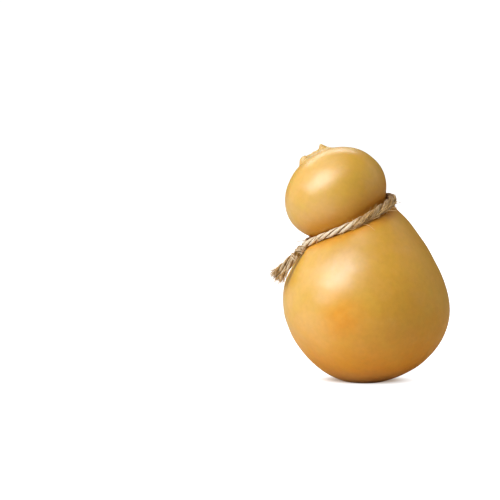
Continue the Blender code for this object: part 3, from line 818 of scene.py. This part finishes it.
class Finish:
    """The nodes of a new material or world, written as expressions on sockets."""

    def __init__(self, owner):
        self.owner = owner
        owner.use_nodes = True
        self.tree = owner.node_tree
        self.tree.nodes.clear()

    def node(self, kind, values, output=0, **settings):
        """Add a node, set its settings, then the values or links of its sockets; gives one output."""
        made = self.tree.nodes.new(kind)
        for name, value in settings.items():
            setattr(made, name, value)
        for name, value in values.items():
            if isinstance(value, Socket):
                self.tree.links.new(value.socket, made.inputs[name])
            else:
                made.inputs[name].default_value = value
        return Socket(self, made.outputs[output])

    def vector(self, operation, *values, output="Vector"):
        """Vector Math on vectors."""
        return self.node("ShaderNodeVectorMath", dict(enumerate(values)), output, operation=operation)

    def noise(self, place, scale, detail=2.0, roughness=0.5):
        """Smooth noise around 0.5 at a place, with so many features to the metre."""
        values = {"Vector": place, "Scale": scale, "Detail": detail, "Roughness": roughness}
        return self.node("ShaderNodeTexNoise", values)

    def step(self, value, low, high):
        """A smooth step of a value from 0 at low to 1 at high."""
        values = {"Value": value, "From Min": low, "From Max": high}
        return self.node("ShaderNodeMapRange", values, interpolation_type="SMOOTHSTEP")

    def mix(self, factor, first, second):
        """A colour between two, by a factor.  A plain colour is given full alpha."""
        first, second = (end if isinstance(end, Socket) else (*end, 1.0) for end in (first, second))
        return self.node("ShaderNodeMix", {0: factor, 6: first, 7: second}, 2, data_type="RGBA")

    def bump(self, height, distance, strength):
        """Normals that follow a height, which counts for a distance at full strength."""
        values = {"Height": height, "Distance": distance, "Strength": strength}
        return self.node("ShaderNodeBump", values, "Normal")

    def blob(self, place, middle, size):
        """1 at a point, fading smoothly to 0 at a distance from it, both in millimetres."""
        away = self.vector("DISTANCE", place, MM * np.array(middle), output="Value")
        return 1.0 - self.step(away, 0.0, size * MM)

    def value(self, name):
        """A number that the piece holds for each of its points."""
        return self.node("ShaderNodeAttribute", {}, "Fac", attribute_name=name)

    def place(self):
        """Object coordinates."""
        return self.node("ShaderNodeTexCoord", {}, "Object")

    def split(self, vector):
        """The three parts of a vector."""
        made = self.node("ShaderNodeSeparateXYZ", {0: vector}).socket.node
        return [Socket(self, output) for output in made.outputs]

    def close(self, values):
        """End with a Principled shader that has these values or links."""
        return self.end(self.node("ShaderNodeBsdfPrincipled", values))

    def end(self, shader, kind="ShaderNodeOutputMaterial"):
        """Join a shader to the output; gives the material or world."""
        self.tree.links.new(shader.socket, self.tree.nodes.new(kind).inputs["Surface"])
        return self.owner


def skin_finish(cheese):
    """Waxy smoked skin: golden with paler clouds, redder low down and in a patch in front, and with its own
    colour on the closure.  Painted shade makes it redder to the right, redder and darker beside the
    twine, and darker under the twine on the shoulder and on the right flank.  Painted bounce light from
    the floor makes the foot greyer.  Mottling browns it, a spot on the front of the belly is darker, and
    its gloss fades where it is smoked, shaded or dull."""
    finish = Finish(bpy.data.materials.new("smoked_skin"))
    place = finish.place()
    sideways, _, height = finish.split(place)
    drifts = finish.noise(place, 32.0, 3.0, 0.55)
    clouds = finish.noise(place, 110.0, 3.0, 0.6)
    mottle = finish.noise(place, 420.0, 3.0, 0.65)
    low = 1.0 - finish.step(height + 0.02 * (drifts - 0.5), 0.0, 40.0 * MM)
    right = finish.step(sideways, -15.0 * MM, 32.0 * MM)
    crease = finish.value("near_twine")
    patch, belly = finish.blob(place, *ORANGE_PATCH), finish.blob(place, *SHADED_BELLY)

    # Painted shade makes it redder to the right and beside the twine; low down and the patch are the skin's
    # own.
    smoke_and_shade = 0.08 + 0.72 * low + 0.22 * right + 0.50 * crease + 0.50 * patch
    smoke_and_shade = smoke_and_shade + 0.6 * (clouds - 0.5) + 0.4 * (drifts - 0.5)
    colour = finish.mix(smoke_and_shade, cheese.skin, cheese.smoked)
    light = 0.35 * finish.step(clouds, 0.48, 0.72)
    colour = finish.mix(light * (1.0 - low), colour, cheese.pale)
    middle, head_axis, _, _ = head_frame()
    pole = (middle + cheese.head_half_height * head_axis) / MM
    closure = finish.blob(place, pole, CLOSURE_REACH)
    colour = finish.mix(finish.step(closure, 0.15, 0.6), colour, cheese.closure)
    # Painted shade: darker beside the twine, on the shoulder under it and on the right flank.
    shade = 0.05 + 0.3 * crease * crease + 0.25 * finish.blob(place, *PAINTED_SHOULDER_SHADE)
    shade = shade + 0.12 * belly + 0.15 * finish.blob(place, *PAINTED_FLANK_SHADE) + 0.3 * (mottle - 0.5)
    colour = finish.mix(shade, colour, cheese.shaded)
    # Painted bounce light from the floor: the foot is greyer.
    foot = 1.0 - finish.step(height, 0.0, 10.0 * MM)
    colour = finish.mix(0.5 * foot, colour, cheese.foot)

    waxy = (1.0 - low) * (1.0 - 0.92 * right) * (1.0 - 0.8 * crease) * (1.0 - 0.8 * patch)
    dull = finish.blob(place, *DULL_SHOULDER) + 0.8 * belly + 0.7 * finish.blob(place, *DULL_HEAD)
    waxy = waxy * finish.step(drifts, 0.1, 0.55) * (1.0 - 0.9 * dull)
    waxy = waxy * (0.75 + 0.25 * finish.step(clouds, 0.38, 0.60))
    uneven = finish.noise(place, 60.0) + 0.10 * finish.noise(place, 420.0)
    uneven = uneven + 0.03 * finish.noise(place, 900.0)
    return finish.close({
        "Base Color": colour, "Roughness": 0.5 + 0.10 * (clouds - 0.5), "IOR": 1.2,
        "Normal": finish.bump(uneven, 0.6 * MM, 0.5),
        "Coat Weight": waxy, "Coat Roughness": 0.37, "Coat IOR": 2.08,
        "Subsurface Weight": 0.25, "Subsurface Radius": (1.0, 0.45, 0.12), "Subsurface Scale": 3.0 * MM})


def twine_finish(twine):
    """Bast fibres: streaks that run along each strand, from cream through straw to brown, with a matching
    relief.  Painted shade makes them darkest between the strands, and stain with painted shade browns
    some lengths."""
    finish = Finish(bpy.data.materials.new("natural_twine"))
    lengthwise, roundwise, depth, stain_and_shade = map(finish.value, STRAND_VALUES)
    sine, cosine = (2.0 * roundwise.maths(way, roundwise) for way in ("SINE", "COSINE"))
    grain = finish.node("ShaderNodeCombineXYZ", {0: 220.0 * lengthwise, 1: sine, 2: cosine})
    streaks = finish.noise(grain, 1.0, 4.0, 0.7)
    # Painted shade: darkest between the strands.
    groove = 1.0 - finish.step(depth, 0.6, 0.95)
    tone = 0.18 + streaks + 0.5 * (streaks - 0.5) - 0.29 * stain_and_shade - 0.55 * groove
    colour = finish.mix(finish.step(tone, 0.20, 0.48), twine.brown, twine.straw)
    colour = finish.mix(finish.step(tone, 0.38, 0.58), colour, twine.cream)
    # Stain and painted shade brown some lengths.
    colour = finish.mix(0.5 * stain_and_shade, colour, twine.stained_and_shaded)
    return finish.close({
        "Base Color": colour, "Roughness": 0.8, "Normal": finish.bump(streaks, 0.6 * MM, 0.9), "IOR": 1.4,
        "Sheen Weight": 0.25, "Sheen Roughness": 0.5})


def hair_finish(twine):
    """Single fibres, each with its own tone between dark and pale."""
    finish = Finish(bpy.data.materials.new("natural_twine_fibre"))
    colour = finish.mix(finish.value("tone"), twine.dark_hair, twine.pale_hair)
    return finish.close({"Base Color": colour, "Roughness": 0.7, "IOR": 1.4})


def floor_finish():
    """A floor that the camera sees as plain white, with a painted shadow, darker and warmer, close to where
    the object stands.  To everything else it is grey, and glows a little away from the object, most at
    the front left."""
    finish = Finish(bpy.data.materials.new("pale_floor"))
    place = finish.place()
    away = finish.vector("LENGTH", finish.vector("MULTIPLY", place, SHADOW_SQUEEZE), output="Value")
    # Painted shadow: the camera sees the floor darker and warmer near the object.
    near = 1.0 - finish.step(away, *SHADOW_REACH)
    seen = finish.node("ShaderNodeLightPath", {}, "Is Camera Ray")
    hidden_glow = (0.12 + 0.40 * finish.blob(place, *GLOW_SPOT)) * finish.step(away, *GLOW_REACH)
    strength = hidden_glow * (1.0 - seen) + (SEEN_WHITE - 0.80 * near) * seen
    tint = finish.mix(near * near * seen, (1.0, 1.0, 1.0), SHADOW_TINT)
    glow = finish.node("ShaderNodeVectorMath", {0: tint, "Scale": strength}, operation="SCALE")
    glow = finish.node("ShaderNodeEmission", {"Color": glow})
    matt = finish.node("ShaderNodeBsdfDiffuse", {"Color": FLOOR_GREY})
    return finish.end(finish.node("ShaderNodeAddShader", {0: matt, 1: glow}))


# -------- the stage

def direction_to(azimuth, elevation):
    """A direction from the object: azimuth 0 is the front, and positive is to the right."""
    return np.array([sin(azimuth) * cos(elevation), -cos(azimuth) * cos(elevation), sin(elevation)])


def look_along(item, forward, roll=0.0):
    """Turn a camera or a light so that it looks along a direction, upright or rolled clockwise."""
    turn = Vector(forward).to_track_quat("-Z", "Y") @ Quaternion((0.0, 0.0, 1.0), -roll)
    item.rotation_euler = turn.to_euler()


def add_camera():
    """A long lens that stands in front, a little above, turned so that the object shows at the
    picture's right."""
    data = bpy.data.cameras.new("camera")
    data.sensor_width, data.lens = SENSOR, LENS
    data.clip_start = 0.01
    camera = add_object("camera", data)
    camera.location = (0.0, 0.0, SIGHT_HEIGHT) + CAMERA_DISTANCE * direction_to(0.0, CAMERA_HEIGHT)
    per_pixel = SENSOR / LENS / PICTURE
    left, up = (atan((pixel - PICTURE / 2) * per_pixel) for pixel in SIGHT_PIXEL)
    look_along(camera, -direction_to(left, CAMERA_HEIGHT - up))
    bpy.context.scene.camera = camera


def add_light(name, radiance, azimuth, elevation, roll, distance, size):
    """A rectangular light at a direction in degrees and a distance from the object, facing it, and
    rolled clockwise as seen from behind it."""
    data = bpy.data.lights.new(name, "AREA")
    data.shape = "RECTANGLE"
    data.size, data.size_y = size
    data.energy = 4.0 * radiance * size[0] * size[1]
    light = add_object(name, data)
    away = direction_to(radians(azimuth), radians(elevation))
    light.location = (0.0, 0.0, SIGHT_HEIGHT) + distance * away
    look_along(light, -away, radians(roll))


def add_world(ambient):
    """Even light from all around, behind which the camera sees plain white."""
    finish = Finish(bpy.data.worlds.new("studio"))
    seen = finish.node("ShaderNodeLightPath", {}, "Is Camera Ray")
    strength = ambient + (SEEN_WHITE - ambient) * seen
    shader = finish.node("ShaderNodeBackground", {"Color": (1.0, 1.0, 1.0, 1.0), "Strength": strength})
    bpy.context.scene.world = finish.end(shader, "ShaderNodeOutputWorld")


def add_floor():
    """A wide round floor at height 0."""
    angle = full_turn(FLOOR_SIDES)
    ring = FLOOR_RADIUS * np.stack([np.cos(angle), np.sin(angle), 0.0 * angle], -1)
    mesh = bpy.data.meshes.new("floor")
    mesh.from_pydata(ring.tolist(), [], [tuple(range(FLOOR_SIDES))])
    mesh.materials.append(floor_finish())
    floor = add_object("floor", mesh)


# -------- operators, panel and main

class SCAMORZA_OT_cheese(bpy.types.Operator):
    """Make the cheese with its neck, head and pinched closure"""

    bl_idname = "scamorza.cheese"
    bl_label = "Make the cheese"

    def execute(self, context):
        make_cheese(context.scene.scamorza_cheese, context.scene.scamorza_twine)
        return {"FINISHED"}


class SCAMORZA_OT_twine(bpy.types.Operator):
    """Make the loop of twine with its knot and tails"""

    bl_idname = "scamorza.twine"
    bl_label = "Make the twine"

    def execute(self, context):
        make_twine(context.scene.scamorza_cheese, context.scene.scamorza_twine)
        return {"FINISHED"}


class SCAMORZA_OT_fibres(bpy.types.Operator):
    """Make the stray hairs of the twine and the fibres of its frayed ends"""

    bl_idname = "scamorza.fibres"
    bl_label = "Make the fibres"

    def execute(self, context):
        make_fibres(context.scene.scamorza_cheese, context.scene.scamorza_twine)
        return {"FINISHED"}


class SCAMORZA_OT_stage(bpy.types.Operator):
    """Make the floor, the lights and the camera"""

    bl_idname = "scamorza.stage"
    bl_label = "Make the stage"

    def execute(self, context):
        stage = context.scene.scamorza_stage
        add_world(stage.ambient)
        add_floor()
        for name, setup in LIGHTS.items():
            add_light(name, getattr(stage, f"{name}_power"), *setup)
        add_camera()
        context.scene.view_settings.view_transform = "Standard"
        return {"FINISHED"}


class SCAMORZA_PT_panel(bpy.types.Panel):
    """The steps that make the scamorza"""

    bl_idname = "SCAMORZA_PT_panel"
    bl_label = "Smoked scamorza"
    bl_space_type = "VIEW_3D"
    bl_region_type = "UI"
    bl_category = "Scamorza"

    def draw(self, context):
        for step in STEPS:
            self.layout.operator(step.bl_idname)
        for group in GROUPS:
            settings = getattr(context.scene, group)
            for name in settings.bl_rna.properties.keys()[2:]:
                self.layout.prop(settings, name)


STEPS = (SCAMORZA_OT_cheese, SCAMORZA_OT_twine, SCAMORZA_OT_fibres, SCAMORZA_OT_stage)
GROUPS = {
    "scamorza_cheese": CheeseSettings,
    "scamorza_twine": TwineSettings,
    "scamorza_stage": StageSettings,
}


def register():
    for group in (*GROUPS.values(), *STEPS, SCAMORZA_PT_panel):
        bpy.utils.register_class(group)
    for name, group in GROUPS.items():
        setattr(bpy.types.Scene, name, PointerProperty(type=group))


def unregister():
    for name in GROUPS:
        delattr(bpy.types.Scene, name)
    for group in (SCAMORZA_PT_panel, *STEPS, *GROUPS.values()):
        bpy.utils.unregister_class(group)


def main():
    """Register the classes and make everything in order."""
    register()
    for step in STEPS:
        getattr(bpy.ops.scamorza, step.bl_idname.split(".")[1])()


if __name__ == "__main__":
    main()
